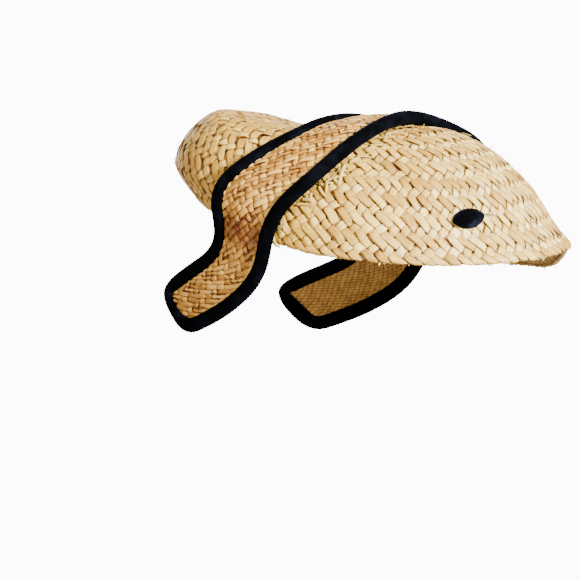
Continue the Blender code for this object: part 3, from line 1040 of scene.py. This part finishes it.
def make_loose_ends(crown_surface):
    """Frayed ends that stick out from under the velvet and along the rim, and stray fibres."""
    tree = tree_of("crown")
    draw = random.Random(LOOSE_SEED)
    ends = []

    def crown_spot(across, up):
        """Point, normal and level direction at a place of the crown."""
        base, normal = crown_surface.at(np.array([across]), np.array([up]))
        normal = Vector(normal[0])
        return Vector(base[0]), normal, Vector((0, 0, 1)).cross(normal).normalized()

    for side in (1, -1):
        line = smooth_line([band_edge(section, side, "rear") for section in BAND[:9]])
        for _ in range(ENDS_BY_VELVET):
            at = int(draw.uniform(0.12, 0.97) * (len(line) - 2))
            along = Vector(line[at + 1] - line[at]).normalized()
            place = Vector(line[at])
            normal = tree.find_nearest(place)[1]
            away = along.cross(normal)
            away = away if away.y > 0 else -away
            turn = draw.uniform(-1.1, 1.1)
            heading = (away * math.cos(turn) + along * math.sin(turn)).normalized()
            length = 0.0035 + draw.uniform(0.0015, 0.0058) / max(0.5, math.cos(turn))
            width = draw.uniform(0.0010, 0.0024)
            lift = draw.uniform(0.0001, 0.0011)
            start = place + away * 0.001
            ends.append(Loose(start, heading, normal.cross(heading), length, width, lift, True))
    for _ in range(ENDS_AT_RIM):
        place, normal, around = crown_spot(draw.random(), 0.006)
        heading = (around * draw.uniform(-1.0, 1.0) + Vector((0, 0, -0.8)) + normal * 0.3).normalized()
        length = draw.uniform(0.0008, 0.0022)
        width = draw.uniform(0.0003, 0.0009)
        lift = draw.uniform(-0.0002, 0.0006)
        aside = normal.cross(heading).normalized()
        ends.append(Loose(place - normal * 0.0006, heading, aside, length, width, lift, False))
    for _ in range(STRAY_FIBRES):
        place, normal, around = crown_spot(draw.random(), draw.uniform(0.05, 0.9))
        turn = draw.uniform(0.0, 2.0 * math.pi)
        heading = around * math.cos(turn) + normal.cross(around) * math.sin(turn)
        length = draw.uniform(0.003, 0.008)
        width = draw.uniform(0.00012, 0.00030)
        lift = draw.uniform(0.0004, 0.0014)
        ends.append(Loose(place, heading, normal.cross(heading), length, width, lift, True))

    def place_on(straw, q, side):
        end = ends[straw.number]
        share = q / straw.stop
        points = []
        for part, across in zip(share, side):
            point = end.start + end.heading * (end.length * part)
            normal = end.heading.cross(end.aside)
            if end.hugs:
                point, normal, _, _ = tree.find_nearest(point)
            point = point + end.aside * (across * end.width / 2 * (1.0 - 0.45 * part * part))
            point = point + end.aside * (0.12 * end.length * part * part * math.sin(straw.number * 3.7))
            points.append(point + normal * (0.0002 + end.lift * part * (1.5 - 0.5 * part)))
        shade = np.full(len(q), 0.7 + 0.5 * own_random(straw.number))
        return np.array(points), shade, 0.5 * share, 0.0 * share

    lay_straws(
        "loose_straw_ends",
        [Straw(number, 1, 0.0, end.length / LOOSE_STEP) for number, end in enumerate(ends)],
        place_on,
        crown_straw,
        LOOSE_THICKNESS,
        across=2,
        per_step=3,
    )


def make_binding():
    """The velvet welt, the frame's own form made round and soft."""
    bm = bmesh.new()
    bm.from_mesh(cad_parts["band_binding"].data)
    bmesh.ops.remove_doubles(bm, verts=bm.verts, dist=0.00001)
    bmesh.ops.join_triangles(bm, faces=bm.faces, angle_face_threshold=3.0, angle_shape_threshold=3.0)
    bm.normal_update()
    for vertex in bm.verts:
        vertex.co += vertex.normal * VELVET_PROUD
    piece = new_piece("velvet_binding", bm, velvet)
    rounded = piece.modifiers.new("rounded", "SUBSURF")
    rounded.levels = 2
    rounded.render_levels = 2
    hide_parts("band_binding")


def make_button():
    """Velvet-covered button: a pointed oval dome with a soft ridge and gathers at its two ends."""
    low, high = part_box("side_button")
    centre = (low + high) / 2
    tree = tree_of("crown")
    seat, normal, _, _ = tree.find_nearest(centre)
    if normal.dot(centre) < 0:
        normal = -normal
    level = Vector((0, 0, 1)).cross(normal).normalized()
    tilt = math.radians(BUTTON_TILT)
    long_way = level * math.cos(tilt) + normal.cross(level) * math.sin(tilt)
    short_way = normal.cross(long_way)
    bm = bmesh.new()
    bmesh.ops.create_uvsphere(bm, u_segments=56, v_segments=28, radius=1.0)
    for vertex in bm.verts:
        x, y, z = vertex.co
        flat = math.hypot(x, y)
        slant = abs(y) / max(flat, 1e-6)
        y *= slant ** BUTTON_POINT
        rise = z * (BUTTON_HEIGHT if z > 0 else BUTTON_BACK)
        if z > 0:
            gathers = math.sin(9.0 * math.atan2(y, x)) * 0.05 * flat ** 3
            ridge = 0.16 * math.exp(-((y - 0.08) / 0.16) ** 2) * (1 - x * x)
            rise *= 1.0 + gathers + ridge
        vertex.co = (
            seat
            + long_way * (x * BUTTON_LENGTH / 2)
            + short_way * (y * BUTTON_WIDTH / 2)
            + normal * (rise + BUTTON_LIFT)
        )
    piece = new_piece("velvet_button", bm, button_velvet)
    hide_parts("side_button")
    tip = seat + long_way * (BUTTON_LENGTH / 2 - 0.0006)
    make_thread(tree, tip, long_way, short_way)


def make_thread(tree, start, ahead, aside):
    """The end of the sewing thread, which lies on the straw behind the button."""
    bm = bmesh.new()
    ring = bmesh.ops.create_circle(bm, segments=8, radius=THREAD_RADIUS)["verts"]
    rings = [ring]
    for _ in range(THREAD_STEPS):
        edges = {edge for vertex in rings[-1] for edge in vertex.link_edges}
        edges = [edge for edge in edges if all(v in rings[-1] for v in edge.verts)]
        made = bmesh.ops.extrude_edge_only(bm, edges=edges)["geom"]
        rings.append([v for v in made if isinstance(v, bmesh.types.BMVert)])
    for step, ring in enumerate(rings):
        share = step / (len(rings) - 1)
        place = start + ahead * (THREAD_LENGTH * share) + aside * (0.0005 * math.sin(share * 5.0))
        nearest, normal, _, _ = tree.find_nearest(place)
        place = nearest + normal * (0.0004 + 0.0005 * math.sin(share * math.pi))
        across = normal.cross(ahead).normalized()
        for vertex in ring:
            flat = vertex.co.copy()
            flat.z = 0.0
            flat = flat.normalized() * THREAD_RADIUS
            vertex.co = place + across * flat.x + normal * flat.y
    bmesh.ops.holes_fill(bm, edges=[edge for edge in bm.edges if edge.is_boundary])
    bmesh.ops.recalc_face_normals(bm, faces=bm.faces)
    new_piece("button_thread", bm, thread_grey)


# Floor, light and camera

def seamless_white(name):
    """Matt white that looks as bright as the backdrop and throws only a little light back."""
    paint = new_material(name)
    n = Nodes(paint.node_tree)
    matt = principled(paint)
    matt.inputs["Base Color"].default_value = (0.5, 0.5, 0.5, 1)
    matt.inputs["Roughness"].default_value = 0.9
    glow = n.add("ShaderNodeEmission")
    glow.inputs["Strength"].default_value = BACKDROP_STRENGTH
    seen = n.maths("MULTIPLY", n.add("ShaderNodeLightPath").outputs["Is Camera Ray"], 0.95)
    joined = n.mixed_shader(seen, matt.outputs[0], glow.outputs[0])
    n.feed(paint.node_tree.nodes["Material Output"].inputs["Surface"], joined)
    return paint


def make_floor():
    bm = bmesh.new()
    bmesh.ops.create_circle(bm, cap_ends=True, segments=96, radius=FLOOR_RADIUS)
    for vertex in bm.verts:
        vertex.co.z = FLOOR_HEIGHT
    new_mesh_object("floor", bm, seamless_white("pale floor"))


def make_world():
    """A white backdrop to the camera, and warm light to the hat that fades towards the ceiling."""
    world = bpy.data.worlds.new("studio")
    world.use_nodes = True
    n = Nodes(world.node_tree)
    lighting = world.node_tree.nodes["Background"]
    _, _, height = n.split(n.add("ShaderNodeTexCoord").outputs["Generated"])
    lighting.inputs["Color"].default_value = (1.0, 0.92, 0.76, 1)
    n.feed(lighting.inputs["Strength"], n.ramp(height, 0.0, 0.9, SKY_STRENGTH, CEILING_STRENGTH))
    seen = n.add("ShaderNodeBackground")
    seen.inputs["Color"].default_value = (1.0, 1.0, 1.0, 1)
    seen.inputs["Strength"].default_value = BACKDROP_STRENGTH
    by_camera = n.add("ShaderNodeLightPath").outputs["Is Camera Ray"]
    joined = n.mixed_shader(by_camera, lighting.outputs[0], seen.outputs[0])
    n.feed(world.node_tree.nodes["World Output"].inputs["Surface"], joined)
    bpy.context.scene.world = world


def turned(holder, way):
    """Turn a light or a camera to look a way."""
    holder.rotation_mode = "QUATERNION"
    holder.rotation_quaternion = way.to_track_quat("-Z", "Y")


def add_light(name, place, aim, size, power, colour):
    lamp = bpy.data.lights.new(name, "AREA")
    lamp.size = size
    lamp.energy = power
    lamp.color = colour
    holder = new_object(name, lamp)
    holder.location = place
    turned(holder, Vector(aim) - Vector(place))


def add_camera():
    """The photograph's camera: the frame's origin falls on ORIGIN_PIXEL_X and ORIGIN_PIXEL_Y."""
    turn = math.radians(VIEW_TURN)
    look = Vector((-math.cos(turn), -math.sin(turn), 0.0))
    right = Vector((-math.sin(turn), math.cos(turn), 0.0))
    middle = PHOTO_PIXELS / 2
    target = right * ((middle - ORIGIN_PIXEL_X) * METRES_PER_PIXEL)
    target += Vector((0, 0, (ORIGIN_PIXEL_Y - middle) * METRES_PER_PIXEL))
    camera = bpy.data.cameras.new("photo camera")
    camera.sensor_width = SENSOR_WIDTH
    camera.lens = SENSOR_WIDTH * VIEW_DISTANCE / (PHOTO_PIXELS * METRES_PER_PIXEL)
    holder = new_object("photo camera", camera)
    holder.location = target - look * VIEW_DISTANCE
    turned(holder, look)
    bpy.context.scene.camera = holder


add_camera()
crown_surface = crown_sheet()
make_crown(crown_surface)
make_band(band_sheet())
make_loose_ends(crown_surface)
make_binding()
make_button()
make_floor()
make_world()
add_light("key light", (0.8, 2.0, 0.65), (0, 0, 0.02), 0.4, 235.0, (1.0, 1.0, 1.0))
add_light("side fill", (1.9, -0.5, -0.1), (0, 0, 0.0), 1.0, 24.0, (1.0, 0.84, 0.62))
add_light("front fill", (-1.5, -1.5, 0.5), (0, 0, 0.0), 1.2, 32.0, (1.0, 0.95, 0.86))
